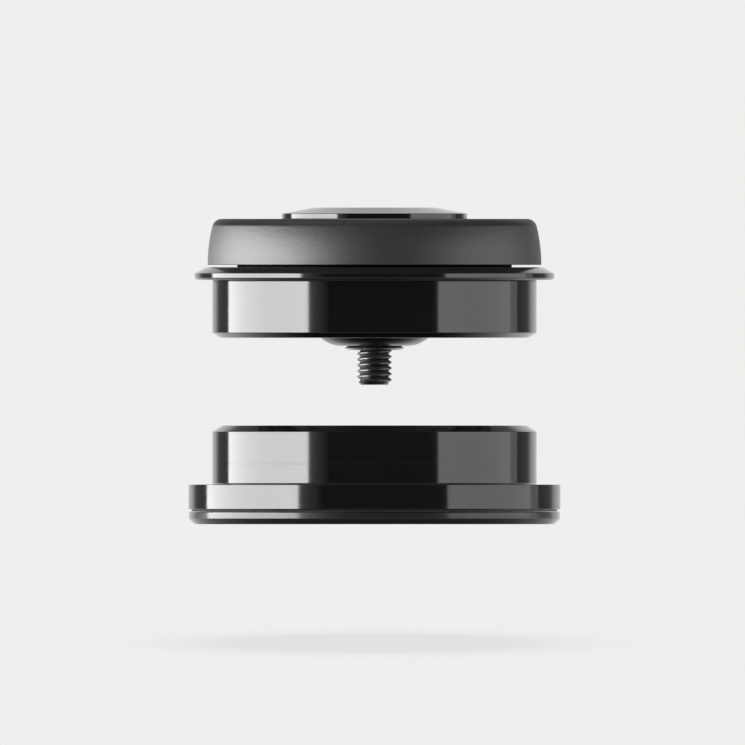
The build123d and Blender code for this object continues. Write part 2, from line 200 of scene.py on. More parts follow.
def spin_outline(bm):
    """Turn the outline into a closed ring."""
    bmesh.ops.delete(bm, geom=bm.faces[:], context="FACES_ONLY")
    bmesh.ops.spin(
        bm,
        geom=bm.verts[:] + bm.edges[:],
        cent=(0, 0, 0),
        axis=(0, 0, 1),
        angle=math.tau,
        steps=TURN_STEPS,
        use_merge=True,
    )
    bmesh.ops.remove_doubles(bm, verts=bm.verts, dist=MERGE)
    bmesh.ops.recalc_face_normals(bm, faces=bm.faces)


# %% [markdown]
# ## Effects that several finishes share
#
# A node group is to a material what a function is to a script. Three effects come back in several
# finishes: the fine rings that a lathe tool leaves, the grain of a blasted or moulded skin, and the
# rub on a handled edge. Each group puts out only values that change over the surface. The shader
# itself stays in the material. A few helpers come first, because placing and linking a node by hand
# takes three lines each time.

# %% Helpers for places and directions
def object_place(tree):
    """The place of a point in the object's own coordinates."""
    return tree.nodes.new("ShaderNodeTexCoord").outputs["Object"]


def split_axes(tree, vector):
    """The X, Y and Z of a vector."""
    node = tree.nodes.new("ShaderNodeSeparateXYZ")
    tree.links.new(vector, node.inputs["Vector"])
    return node.outputs


def vector_node(tree, operation, vector):
    """A Vector Math node that works on a vector."""
    node = tree.nodes.new("ShaderNodeVectorMath")
    node.operation = operation
    tree.links.new(vector, node.inputs[0])
    return node


# %% [markdown]
# Numbers go through two kinds of node. Math works them out, and Map Range stretches a part of a range
# over the whole of it, which is also how noise gets its contrast.

# %% Helpers for numbers
def math_node(tree, operation, first, second):
    """A Math node whose two inputs are sockets or numbers."""
    node = tree.nodes.new("ShaderNodeMath")
    node.operation = operation
    for socket, value in zip(node.inputs, (first, second)):
        if isinstance(value, (int, float)):
            socket.default_value = value
        else:
            tree.links.new(value, socket)
    return node.outputs["Value"]


def spread(tree, value, low, high):
    """Stretch a value between low and high over the range 0 to 1."""
    node = tree.nodes.new("ShaderNodeMapRange")
    tree.links.new(value, node.inputs["Value"])
    node.inputs["From Min"].default_value = low
    node.inputs["From Max"].default_value = high
    return node.outputs["Result"]


# %% [markdown]
# The sockets of a group are declared on its interface. Inside the group they come back on two nodes of
# their own, one for what it takes in and one for what it puts out.

# %% A helper that starts a group
def start_group(name, inputs, outputs):
    """A shader node group with named number inputs and outputs."""
    group = bpy.data.node_groups.new(name, "ShaderNodeTree")
    for label, value in inputs.items():
        socket = group.interface.new_socket(label, in_out="INPUT", socket_type="NodeSocketFloat")
        socket.default_value = value
    for label in outputs:
        group.interface.new_socket(label, in_out="OUTPUT", socket_type="NodeSocketFloat")
    taken_in = group.nodes.new("NodeGroupInput").outputs
    put_out = group.nodes.new("NodeGroupOutput").inputs
    return group, taken_in, put_out


# %% [markdown]
# Tool rings depend on the distance from the axis on a flat face, and on the height along a wall.
# Four-dimensional noise takes both at once: height goes in as Z, the distance as W, and the direction
# round the axis as X and Y, stretched so little that the rings drift slowly on their way round. Noise
# seldom leaves the range from a quarter to three quarters, so that range is stretched to the full one.

# %% Group: the rings a lathe tool leaves
NOISE_LOW = 0.25
NOISE_HIGH = 0.75

tool_rings, ring_in, ring_out = start_group(
    "tool_rings", {"Rings per mm": 4.0, "Drift": 2.0}, ["Height"]
)
link = tool_rings.links.new
axes = split_axes(tool_rings, object_place(tool_rings))
flat = tool_rings.nodes.new("ShaderNodeCombineXYZ")
link(axes["X"], flat.inputs["X"])
link(axes["Y"], flat.inputs["Y"])
reach = vector_node(tool_rings, "LENGTH", flat.outputs["Vector"])
direction = vector_node(tool_rings, "NORMALIZE", flat.outputs["Vector"])
drift = vector_node(tool_rings, "SCALE", direction.outputs["Vector"])
link(ring_in["Drift"], drift.inputs["Scale"])
drifted = split_axes(tool_rings, drift.outputs["Vector"])
density = math_node(tool_rings, "MULTIPLY", ring_in["Rings per mm"], 1 / MM)
ring_place = tool_rings.nodes.new("ShaderNodeCombineXYZ")
link(drifted["X"], ring_place.inputs["X"])
link(drifted["Y"], ring_place.inputs["Y"])
link(math_node(tool_rings, "MULTIPLY", axes["Z"], density), ring_place.inputs["Z"])
ring_noise = tool_rings.nodes.new("ShaderNodeTexNoise")
ring_noise.noise_dimensions = "4D"
ring_noise.inputs["Scale"].default_value = 1.0
ring_noise.inputs["Detail"].default_value = 3.0
link(ring_place.outputs["Vector"], ring_noise.inputs["Vector"])
link(math_node(tool_rings, "MULTIPLY", reach.outputs["Value"], density), ring_noise.inputs["W"])
link(spread(tool_rings, ring_noise.outputs["Fac"], NOISE_LOW, NOISE_HIGH), ring_out["Height"])
print("group", tool_rings.name, len(tool_rings.nodes), "nodes")

# %% [markdown]
# Grain is plain noise on the object's own coordinates, in two sizes: the grain itself, for the bump,
# and broad soft clouds, because no blasted or moulded skin is equally bright all over.

# %% Group: the grain of a blasted, oxidised or moulded skin
skin_grain, grain_in, grain_out = start_group(
    "skin_grain", {"Grains per mm": 5.0, "Clouds per mm": 0.12}, ["Grain", "Clouds"]
)
link = skin_grain.links.new
grain_place = object_place(skin_grain)
for label, source, detail in (("Grain", "Grains per mm", 2.0), ("Clouds", "Clouds per mm", 4.0)):
    speckle = skin_grain.nodes.new("ShaderNodeTexNoise")
    speckle.inputs["Detail"].default_value = detail
    link(grain_place, speckle.inputs["Vector"])
    link(math_node(skin_grain, "MULTIPLY", grain_in[source], 1 / MM), speckle.inputs["Scale"])
    link(spread(skin_grain, speckle.outputs["Fac"], NOISE_LOW, NOISE_HIGH), grain_out[label])
print("group", skin_grain.name, len(skin_grain.nodes), "nodes")

# %% [markdown]
# The rub reads the attribute that the bevel wrote, and noise breaks it up, so that an edge is lighter
# here and darker there. On a piece without that attribute it is simply zero.

# %% Group: rub on the edges
RUB_START = 0.35
RUB_FULL = 0.8

edge_rub, rub_in, rub_out = start_group("edge_rub", {"Patches per mm": 0.6}, ["Rub"])
link = edge_rub.links.new
worn_edge = edge_rub.nodes.new("ShaderNodeAttribute")
worn_edge.attribute_name = "edge"
patches = edge_rub.nodes.new("ShaderNodeTexNoise")
patches.inputs["Detail"].default_value = 4.0
link(object_place(edge_rub), patches.inputs["Vector"])
link(math_node(edge_rub, "MULTIPLY", rub_in["Patches per mm"], 1 / MM), patches.inputs["Scale"])
patchy = spread(edge_rub, patches.outputs["Fac"], RUB_START, RUB_FULL)
link(math_node(edge_rub, "MULTIPLY", worn_edge.outputs["Fac"], patchy), rub_out["Rub"])
print("group", edge_rub.name, len(edge_rub.nodes), "nodes")

# %% [markdown]
# ## Finishes
#
# Every finish is one Principled shader. What is the same all over is set on its own sockets; the
# groups move colour, roughness and normal a little around those values. So two more helpers are
# needed, one that places a group with its values and one that mixes two colours.

# %% Helpers for groups and colours
def place_group(tree, group, values):
    """A group in a material, with its own values."""
    node = tree.nodes.new("ShaderNodeGroup")
    node.node_tree = group
    for label, value in values.items():
        node.inputs[label].default_value = value
    return node.outputs


def mix_tones(tree, factor, first, second):
    """A Mix node between two colours, which are sockets or tuples."""
    node = tree.nodes.new("ShaderNodeMix")
    node.data_type = "RGBA"
    tree.links.new(factor, node.inputs["Factor"])
    for label, value in (("A", first), ("B", second)):
        if isinstance(value, tuple):
            node.inputs[label].default_value = (*value, 1)
        else:
            tree.links.new(value, node.inputs[label])
    return node.outputs["Result"]


# %% [markdown]
# The wiring is the same in every finish. Base colour runs from one tone to another with the clouds and
# towards a third on rubbed edges, roughness runs between two values with the rings or the grain, and a
# Bump node takes its height from the same. Each finish goes into a dictionary under its own name.

# %% A helper that wires a finish
finishes = {}


def make_finish(name, dark, light, rubbed, rough, ring=None, grain=None, bump=0.0, **sockets):
    """A material: tones, a roughness range, and the rings or grain that shape it (bump in mm)."""
    finish = bpy.data.materials.new(name)
    finish.use_nodes = True
    tree = finish.node_tree
    shader = tree.nodes["Principled BSDF"].inputs
    for label, value in sockets.items():
        shader[label.replace("_", " ")].default_value = value

    skin = place_group(tree, skin_grain, grain or {})
    rub = place_group(tree, edge_rub, {})
    tones = mix_tones(tree, skin["Clouds"], dark, light)
    tree.links.new(mix_tones(tree, rub["Rub"], tones, rubbed), shader["Base Color"])

    height = place_group(tree, tool_rings, ring)["Height"] if ring else skin["Grain"]
    polish = tree.nodes.new("ShaderNodeMapRange")
    for label, value in zip(("To Min", "To Max"), rough):
        polish.inputs[label].default_value = value
    tree.links.new(height, polish.inputs["Value"])
    tree.links.new(polish.outputs["Result"], shader["Roughness"])
    relief = tree.nodes.new("ShaderNodeBump")
    relief.inputs["Distance"].default_value = bump * MM
    tree.links.new(height, relief.inputs["Height"])
    tree.links.new(relief.outputs["Normal"], shader["Normal"])
    finishes[name] = finish
    print("finish", name)


# %% [markdown]
# The cups and the cap are turned aluminium, anodised black and polished. Under the dye the surface is
# still a lathe surface, so it carries fine rings, but the gloss is what one sees: a clear dielectric
# mirror over black. A mirror on metal would be far too bright, so Metallic stays 0 and a raised IOR
# gives the strength of the gloss.

# %% Gloss black: cups and cap
make_finish(
    "gloss_black",
    dark=(0.0095, 0.0095, 0.0097),
    light=(0.0105, 0.0105, 0.0107),
    rubbed=(0.03, 0.03, 0.031),
    rough=(0.075, 0.12),
    ring={"Rings per mm": 6.0, "Drift": 3.0},
    bump=0.00004,
    IOR=1.7,
)

# %% [markdown]
# The cover is bead blasted before it is dyed. Thousands of small dents scatter the light, so the
# reflection of a lamp spreads into a broad soft band, and a fine grain shows inside it. The band
# spreads much further round the ring than up and down it, and Anisotropic does that: without a
# tangent of its own, a shader takes the direction round the object's Z axis.

# %% Satin black: cover
make_finish(
    "satin_black",
    dark=(0.030, 0.030, 0.0305),
    light=(0.038, 0.038, 0.0385),
    rubbed=(0.06, 0.06, 0.061),
    rough=(0.385, 0.43),
    grain={"Grains per mm": 3.2, "Clouds per mm": 0.15},
    bump=0.0155,
    IOR=1.8,
    Anisotropic=0.7,
)

# %% [markdown]
# The split ring for the fork is turned and left unpolished, and its black is sealed. So it has a dull
# skin below and a smoother clear layer above, which is what the coat of the Principled shader is for.

# %% Half gloss black: split ring
make_finish(
    "half_gloss_black",
    dark=(0.0145, 0.0145, 0.0148),
    light=(0.0175, 0.0175, 0.0178),
    rubbed=(0.03, 0.03, 0.031),
    rough=(0.38, 0.44),
    ring={"Rings per mm": 4.0, "Drift": 3.0},
    bump=0.0002,
    IOR=1.5,
    Coat_Weight=0.85,
    Coat_Roughness=0.13,
    Coat_IOR=1.5,
)

# %% [markdown]
# Bare metals are Metallic 1, where the base colour is the tint of the mirror. The differences lie in
# tone and roughness. Around the bearings, ground races shine, the pressed cage is duller, and the
# turned compression ring shows the rings of the tool.

# %% Metals around the bearings
make_finish(
    "raw_aluminium",
    dark=(0.66, 0.66, 0.67),
    light=(0.74, 0.74, 0.75),
    rubbed=(0.8, 0.8, 0.81),
    rough=(0.22, 0.34),
    ring={"Rings per mm": 5.0, "Drift": 3.0},
    bump=0.0008,
    Metallic=1.0,
)
make_finish(
    "bearing_steel",
    dark=(0.56, 0.56, 0.57),
    light=(0.62, 0.62, 0.63),
    rubbed=(0.7, 0.7, 0.71),
    rough=(0.10, 0.18),
    ring={"Rings per mm": 12.0, "Drift": 4.0},
    bump=0.0001,
    Metallic=1.0,
)
make_finish(
    "cage_steel",
    dark=(0.42, 0.42, 0.43),
    light=(0.5, 0.5, 0.51),
    rubbed=(0.6, 0.6, 0.6),
    rough=(0.28, 0.4),
    grain={"Grains per mm": 3.0, "Clouds per mm": 0.3},
    bump=0.002,
    Metallic=1.0,
)

# %% [markdown]
# Under the cap the metals are darker: the star is hardened spring steel and the bolt is blackened.
# Only the barrel between them is zinc plated, so its end shows as a light disc.

# %% Metals under the cap
make_finish(
    "spring_steel",
    dark=(0.12, 0.12, 0.122),
    light=(0.17, 0.17, 0.173),
    rubbed=(0.3, 0.3, 0.31),
    rough=(0.20, 0.30),
    grain={"Grains per mm": 4.0, "Clouds per mm": 0.4},
    bump=0.001,
    Metallic=1.0,
)
make_finish(
    "barrel_steel",
    dark=(0.52, 0.52, 0.52),
    light=(0.6, 0.6, 0.6),
    rubbed=(0.7, 0.7, 0.7),
    rough=(0.24, 0.36),
    ring={"Rings per mm": 6.0, "Drift": 2.0},
    bump=0.0006,
    Metallic=1.0,
)
make_finish(
    "black_bolt_steel",
    dark=(0.15, 0.15, 0.15),
    light=(0.21, 0.21, 0.21),
    rubbed=(0.3, 0.3, 0.3),
    rough=(0.26, 0.36),
    grain={"Grains per mm": 6.0, "Clouds per mm": 0.8},
    bump=0.001,
    Metallic=1.0,
)

# %% [markdown]
# Seals are moulded nitrile rubber: black, matt, with a fine skin and no mirror worth the name.

# %% Rubber
make_finish(
    "seal_rubber",
    dark=(0.012, 0.012, 0.012),
    light=(0.018, 0.018, 0.018),
    rubbed=(0.03, 0.03, 0.03),
    rough=(0.55, 0.7),
    grain={"Grains per mm": 6.0, "Clouds per mm": 0.3},
    bump=0.003,
    Specular_IOR_Level=0.15,
)

# %% [markdown]
# ## The pieces
#
# Races, balls, cages, most seals, the compression ring and the star nut are right as they come from
# CAD, so they keep their meshes and only get a finish. The record says which slot each node belongs
# to.

# %% Give every CAD node its finish
for part in frame["record"]["subparts"]:
    solid = frame["nodes"][part["node"]]
    solid.material_slots[0].material = finishes[part["material_slot"]]

# %% [markdown]
# A new piece takes the place of a CAD node and moves with that node's body. Smooth shading alone would
# bend the light over a whole wall, because each wall shares its last points with a rounded edge. The
# Weighted Normal modifier gives those points to the larger face, and the walls stay straight. It takes
# no notice of faces under about a square millimetre, so edges that turn by more than 10 degrees are
# marked sharp as well. The steps round a ring turn by less and stay smooth.

# %% A helper that makes an object of a bmesh
SHARP_TURN = math.radians(10)


def make_piece(bm, name, node, slot):
    """An object from a bmesh, in the place of a CAD node, on that node's body."""
    for face in bm.faces:
        face.smooth = True
    mesh = bpy.data.meshes.new(name)
    bm.to_mesh(mesh)
    bm.free()
    mesh.set_sharp_from_angle(angle=SHARP_TURN)
    mesh.materials.append(finishes[slot])
    piece = bpy.data.objects.new(name, mesh)
    bpy.context.scene.collection.objects.link(piece)
    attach(piece, frame["nodes"][node]["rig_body"])
    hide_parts(node)
    walls = piece.modifiers.new("straight_walls", "WEIGHTED_NORMAL")
    walls.mode = "FACE_AREA"
    walls.keep_sharp = True
    print(name, len(mesh.vertices), "points", len(mesh.polygons), "faces")
    return piece


# %% [markdown]
# The cups, the cover and the cap are plain turned rings, so the steps above make each of them. A tool
# can't cut a sharp inner corner, so both press walls have a narrow groove where they meet the flange,
# which shows as a dark line. The lower wall also has a hairline where one pass of the tool ended and
# the next began.

# %% Cups, cover and cap
PRESS_RADIUS = 28.0 * MM
UPPER_WALL_TOP = 35.3 * MM
GROOVES = {  # height, half width and depth of each
    "upper_cup": [(UPPER_WALL_TOP - 0.11 * MM, 0.09 * MM, 0.12 * MM)],
    "lower_cup": [(0.12 * MM, 0.10 * MM, 0.12 * MM), (3.54 * MM, 0.03 * MM, 0.009 * MM)],
}
TURNED = (  # piece, node, finish, and by how many millimetres its edges are broken
    ("upper_cup_turned", "upper_cup", "gloss_black", 0.06),
    ("lower_cup_turned", "lower_cup", "gloss_black", 0.03),
    ("top_cover_turned", "top_cover", "satin_black", 0.06),
    ("top_cap_turned", "top_cap", "gloss_black", 0.05),
)
for name, node, slot, broken in TURNED:
    outline = section_outline(node)
    for height, half_width, depth in GROOVES.get(node, []):
        cut_groove(outline, PRESS_RADIUS, height, half_width, depth)
    count = round_corners(outline, broken * MM)
    spin_outline(outline)
    make_piece(outline, name, node, slot)
    print("   ", count, "edges broken by", broken, "mm")

# %% [markdown]
# The split ring is turned like the others and then sawn through at the back. Two cuts with
# bisect_plane mark the sides of the slit, the faces between them are deleted, and the two open ends
# are filled.

# %% Split ring for the fork
SLIT = 1.2 * MM
SPLIT_RING_EDGE = 0.05 * MM


def fill_holes(bm):
    """Close every open end of a bmesh with a face."""
    rims = [edge for edge in bm.edges if edge.is_boundary]
    return bmesh.ops.holes_fill(bm, edges=rims, sides=0)["faces"]


split_ring = section_outline("crown_race")
round_corners(split_ring, SPLIT_RING_EDGE)
spin_outline(split_ring)
for side in (-SLIT / 2, SLIT / 2):
    cut_plane(split_ring, (side, 0, 0), (1, 0, 0))
sawdust = []
for face in split_ring.faces:
    middle = face.calc_center_median()
    if abs(middle.x) < SLIT / 2 and middle.y > 0:
        sawdust.append(face)
bmesh.ops.delete(split_ring, geom=sawdust, context="FACES")
print("slit with", len(fill_holes(split_ring)), "end faces")
bmesh.ops.recalc_face_normals(split_ring, faces=split_ring.faces)
make_piece(split_ring, "split_ring_turned", "crown_race", "half_gloss_black")

# %% [markdown]
# A rubber lip lies between the split ring and the cup and keeps the water out. The CAD lip stands a
# little clear of the cup, so that the two solids never overlap. Real rubber leans outwards and rubs on
# the cup, and daylight must not show through. So the upper corners of the outline are drawn out and up
# before it is spun.

# %% Rubber lip under the lower cup
LIP_HEIGHT = 0.25 * MM  # what is drawn out, from the tip down
LIP_REACH = 31.5 * MM
HAIR = 0.005 * MM  # what stays open between lip and cup

lip_ring = section_outline("crown_lip_seal")
tip = max(vert.co.z for vert in lip_ring.verts)
lip = [vert for vert in lip_ring.verts if vert.co.z > tip - LIP_HEIGHT]
lip_middle = sum(vert.co.x for vert in lip) / len(lip)
for vert in lip:
    if vert.co.x > lip_middle:
        vert.co.x = LIP_REACH
    if vert.co.z > tip - MERGE:
        vert.co.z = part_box("lower_cup")[0].z - HAIR
print("lip raised by", round((max(vert.co.z for vert in lip) - tip) / MM, 3), "mm")
spin_outline(lip_ring)
make_piece(lip_ring, "crown_lip_drawn_out", "crown_lip_seal", "seal_rubber")

# %% [markdown]
# ## The preload bolt
#
# The CAD bolt is smooth, because a thread has thousands of small faces that no collision needs. A
# picture needs them: the thread is the finest detail on this part. The bolt's length and the width of
# its head come from the solid, and the thread is a common M6, which climbs one millimetre a turn.

# %% Sizes of the bolt, from its solid
PITCH = 1.0 * MM
THREAD_RADIUS = 2.985 * MM
ROOT_RADIUS = 2.42 * MM
CREST = (0.44, 0.56)  # shares of a pitch between which the thread has its full radius
THREAD_START = 0.36  # share of a pitch that the thread is ahead
TURNS_BELOW = 2  # turns that start below the tip and are trimmed
TURNS_SPARE = 3  # turns beyond the length of the bolt, with those below
STEPS_PER_TURN = 40
HEAD_HEIGHT = 3.3 * MM

bolt_low, bolt_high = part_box("cap_bolt")
head_radius = bolt_high.x
head_bottom = bolt_high.z - HEAD_HEIGHT
turns = math.ceil((head_bottom - bolt_low.z) / PITCH) + TURNS_SPARE
print("bolt", round((head_bottom - bolt_low.z) / MM, 2), "mm under the head,", turns, "turns")

# %% [markdown]
# A Screw modifier could make the thread, but here the same spin that turns the rings does it. One pitch
# is a short zigzag line, and a spin that also climbs, one step at a time, sweeps it into a helix. After
# one turn it has climbed by exactly one pitch, so each turn meets the last one and the doubled points
# merge.

# %% Sweep the thread
bolt = bmesh.new()
zigzag = (
    (ROOT_RADIUS, 0.0),
    (THREAD_RADIUS, CREST[0]),
    (THREAD_RADIUS, CREST[1]),
    (ROOT_RADIUS, 1.0),
)
start = bolt_low.z + (THREAD_START - TURNS_BELOW) * PITCH
points = [bolt.verts.new((radius, 0, start + share * PITCH)) for radius, share in zigzag]
for first, second in zip(points, points[1:]):
    bolt.edges.new((first, second))
bmesh.ops.spin(
    bolt,
    geom=bolt.verts[:] + bolt.edges[:],
    cent=(0, 0, 0),
    axis=(0, 0, 1),
    dvec=(0, 0, PITCH / STEPS_PER_TURN),
    angle=math.tau * turns,
    steps=STEPS_PER_TURN * turns,
)
bmesh.ops.remove_doubles(bolt, verts=bolt.verts, dist=MERGE)
print("thread swept with", len(bolt.faces), "faces")

# %% [markdown]
# The helix starts and ends past the bolt, and two planes trim it: one at the tip and one just inside
# the head. A chamfer at the tip helps the bolt to find its nut. It is a cone of 45 degrees, so each
# point that lies outside the cone is drawn in to it.

# %% Trim the thread and cut the chamfer at its tip
TIP_RADIUS = 2.35 * MM
INTO_HEAD = 0.2 * MM

for height, outwards in ((bolt_low.z, -1), (head_bottom + INTO_HEAD, 1)):
    cut_plane(bolt, (0, 0, height), (0, 0, outwards), clear_outer=True)
for vert in bolt.verts:
    cone = TIP_RADIUS + vert.co.z - bolt_low.z
    from_axis = vert.co.xy.length
    if from_axis > cone:
        vert.co.xy *= cone / from_axis
print("bolt closed with", len(fill_holes(bolt)), "end faces")

# %% [markdown]
# The head grows from the bottom of its hexagon socket: a six-sided face, extruded up to the top for
# the socket's walls, bridged to the round rim, and extruded on down the side and in under the head.

# %% The head with its hexagon socket
SOCKET_WIDTH = 5.0 * MM
SOCKET_CORNER = SOCKET_WIDTH / math.sqrt(3)
SOCKET_DEPTH = 2.2 * MM
HEAD_EDGE = 0.4 * MM
HEAD_LOWER_EDGE = 0.2 * MM
HEAD_STEPS = 72


def step_ring(bm, edges, radius, height):
    """Extrude a ring of edges, then set the radius and height of the new ring."""
    grown = bmesh.ops.extrude_edge_only(bm, edges=edges)["geom"]
    for vert in (part for part in grown if isinstance(part, bmesh.types.BMVert)):
        vert.co.xy *= radius / vert.co.xy.length
        vert.co.z = height
    return only_edges(grown)


head = bmesh.new()
bmesh.ops.create_circle(head, cap_ends=True, segments=6, radius=SOCKET_CORNER)
bmesh.ops.translate(head, verts=head.verts, vec=(0, 0, bolt_high.z - SOCKET_DEPTH))
mouth = step_ring(head, head.edges[:], SOCKET_CORNER, bolt_high.z)
rim = bmesh.ops.create_circle(head, segments=HEAD_STEPS, radius=head_radius - HEAD_EDGE)
bmesh.ops.translate(head, verts=rim["verts"], vec=(0, 0, bolt_high.z))
rim_edges = list({edge for vert in rim["verts"] for edge in vert.link_edges})
bmesh.ops.bridge_loops(head, edges=mouth + rim_edges)
ring = rim_edges
for radius, height in (
    (head_radius, bolt_high.z - HEAD_EDGE),
    (head_radius, head_bottom + HEAD_LOWER_EDGE),
    (head_radius - HEAD_LOWER_EDGE, head_bottom),
    (ROOT_RADIUS, head_bottom),
):
    ring = step_ring(head, ring, radius, height)
fill_holes(head)
bmesh.ops.recalc_face_normals(head, faces=head.faces)
print("head", len(head.faces), "faces")

# %% [markdown]
# Thread and head become one object. A bmesh can take in a mesh with from_mesh, so the head is written
# to a mesh for a moment and read back into the bolt. The flanks of a thread turn by more at each step
# than a wide ring does, so on the bolt only edges over 35 degrees are sharp.

# %% Join the head to the thread
BOLT_SHARP_TURN = math.radians(35)

head_mesh = bpy.data.meshes.new("head_for_a_moment")
head.to_mesh(head_mesh)
head.free()
bolt.from_mesh(head_mesh)
bpy.data.meshes.remove(head_mesh)
bmesh.ops.recalc_face_normals(bolt, faces=bolt.faces)
bolt_piece = make_piece(bolt, "cap_bolt_threaded", "cap_bolt", "black_bolt_steel")
bolt_piece.data.set_sharp_from_angle(angle=BOLT_SHARP_TURN)

# %% [markdown]
# ## The studio
#
# The picture is a catalogue shot: pale paper all round, a soft shadow under the part, a bright soft box
# on the left and a weaker one on the right. Polished black shows nothing but what it mirrors, so the
# bright bands on the cups are the soft boxes and the black middle is the dark room behind the camera.
# A Light Path node tells the rays of the camera and of mirrors apart, and a colour ramp holds the tones
# that a mirror finds.

# %% Helpers for the light
def empty_tree(owner):
    """The node tree of a material or a world, cleared."""
    owner.use_nodes = True
    owner.node_tree.nodes.clear()
    return owner.node_tree


def mirror_rays(tree, ray):
    """1 for the rays that come from mirrors and glass, 0 for all others."""
    return math_node(tree, "MAXIMUM", ray["Is Glossy Ray"], ray["Is Transmission Ray"])


def tone_ramp(tree, value, stops):
    """Greys along a value. A stop is a place and its tone, and the tone changes evenly between."""
    start, end = stops[0][0], stops[-1][0]
    ramp = tree.nodes.new("ShaderNodeValToRGB")
    tree.links.new(spread(tree, value, start, end), ramp.inputs["Fac"])
    elements = ramp.color_ramp.elements
    for element, (_, tone) in zip(list(elements), (stops[0], stops[-1])):
        element.color = (tone, tone, tone, 1)
    for place, tone in stops[1:-1]:
        elements.new((place - start) / (end - start)).color = (tone, tone, tone, 1)
    return ramp.outputs["Color"]


# %% [markdown]
# The paper is one colour for the camera wherever it looks. For mirrors it is only there behind the
# part, which is what lights the outer edges of the cups, and high up they see the ceiling, which is
# lighter on the left. Cycles can also aim rays at the world as if it were a lamp. Such rays don't count
# as mirror rays, so that is switched off.

# %% World: pale paper behind, a dark room in front
PAPER = (0.863, 0.863, 0.847)
PAPER_TURN = 0.05  # the sheet of paper is turned a little to the right
PAPER_LEAN = 0.08  # and it is narrower higher up
ROOM_LIGHT = 0.30
AROUND = (  # how far back a mirror ray points, and the tone that it finds
    (0.48, 0.055),
    (0.53, 0.13),
    (0.80, 0.20),
    (0.835, 0.32),
    (0.86, 0.60),
    (0.89, 0.80),
    (0.92, PAPER[0]),
)
CEILING = (  # the same for rays that point up, from left to right
    (-0.42, 0.45),
    (-0.34, 0.20),
    (-0.20, 0.06),
    (-0.10, 0.03),
    (0.42, 0.03),
)
CEILING_START = 0.60
CEILING_FULL = 0.75

world = bpy.data.worlds.new("studio")
world.cycles.sampling_method = "NONE"
bpy.context.scene.world = world
sky = empty_tree(world)
look = split_axes(sky, sky.nodes.new("ShaderNodeTexCoord").outputs["Generated"])
sideways = math_node(sky, "MULTIPLY", look["X"], PAPER_TURN)
upwards = math_node(sky, "MULTIPLY", look["Z"], PAPER_LEAN)
backwards = math_node(sky, "ADD", look["Y"], math_node(sky, "SUBTRACT", sideways, upwards))
around = tone_ramp(sky, backwards, AROUND)
ceiling = tone_ramp(sky, look["X"], CEILING)
high_up = spread(sky, look["Z"], CEILING_START, CEILING_FULL)
mirrored = mix_tones(sky, high_up, around, ceiling)
ray = sky.nodes.new("ShaderNodeLightPath").outputs
room = mix_tones(sky, mirror_rays(sky, ray), (ROOM_LIGHT, ROOM_LIGHT, ROOM_LIGHT), mirrored)
backdrop = sky.nodes.new("ShaderNodeBackground")
sky.links.new(mix_tones(sky, ray["Is Camera Ray"], room, PAPER), backdrop.inputs["Color"])
sky_end = sky.nodes.new("ShaderNodeOutputWorld")
sky.links.new(backdrop.outputs["Background"], sky_end.inputs["Surface"])
print("world", len(sky.nodes), "nodes")

# %% [markdown]
# A soft box is a flat sheet that glows. Its brightness changes along the cloth, which is lit at a slant
# from one end, so the emission follows a ramp along the sheet, and at a hard edge it jumps. It shows in
# mirrors only: the plain light on matt surfaces comes from the world and from above, and the camera
# never sees the sheet itself.

# %% Helpers that hang up a glowing sheet
TURN_UPRIGHT = Matrix.Rotation(math.radians(90), 3, "Y")
HALF_A_METRE = 0.5  # half the side of a grid that is one metre wide


def stage_sheet(bm, name, material):
    """A sheet of the studio from a bmesh."""
    mesh = bpy.data.meshes.new(name)
    bm.to_mesh(mesh)
    bm.free()
    mesh.materials.append(material)
    sheet = bpy.data.objects.new(name, mesh)
    bpy.context.scene.collection.objects.link(sheet)
    return sheet


def soft_box(name, side, low, high, bright, stops):
    """A glowing sheet in the plane x = side. The stops give its brightness along Y."""
    front, back = stops[0][0], stops[-1][0]
    bm = bmesh.new()
    bmesh.ops.create_grid(bm, x_segments=1, y_segments=1, size=HALF_A_METRE)
    bmesh.ops.rotate(bm, verts=bm.verts, cent=(0, 0, 0), matrix=TURN_UPRIGHT)
    bmesh.ops.scale(bm, verts=bm.verts, vec=(1, back - front, high - low))
    bmesh.ops.translate(bm, verts=bm.verts, vec=(side, (back + front) / 2, (low + high) / 2))
    cloth = bpy.data.materials.new(name)
    tree = empty_tree(cloth)
    along = split_axes(tree, object_place(tree))["Y"]
    lamp = tree.nodes.new("ShaderNodeEmission")
    lamp.inputs["Strength"].default_value = bright
    tree.links.new(tone_ramp(tree, along, stops), lamp.inputs["Color"])
    cloth_end = tree.nodes.new("ShaderNodeOutputMaterial")
    tree.links.new(lamp.outputs["Emission"], cloth_end.inputs["Surface"])
    sheet = stage_sheet(bm, name, cloth)
    sheet.visible_camera = False
    sheet.visible_diffuse = False
    sheet.visible_shadow = False
    print(name, "at x", side, "bright", bright)


# %% [markdown]
# The left box is about five times as bright as the right one. Its hard edge is the one towards the
# camera, which ends the bright band on each cup with a clean line. The right box steps down at its
# back, so the outer part of its band is dimmer.

# %% Soft boxes left and right
JUMP = 0.5 * MM  # how wide a hard edge is
LEFT_EDGE = -0.376
RIGHT_EDGE = 0.150

soft_box(
    "soft_box_left",
    side=-0.40,
    low=-0.025,
    high=0.170,
    bright=9.4,
    stops=((-0.675, 0), (LEFT_EDGE, 0.05), (LEFT_EDGE + JUMP, 1), (0.281, 0.72)),
)
soft_box(
    "soft_box_right",
    side=0.40,
    low=-0.015,
    high=0.170,
    bright=1.9,
    stops=((-0.399, 1), (RIGHT_EDGE, 0.74), (RIGHT_EDGE + JUMP, 0.38), (0.228, 0.38)),
)
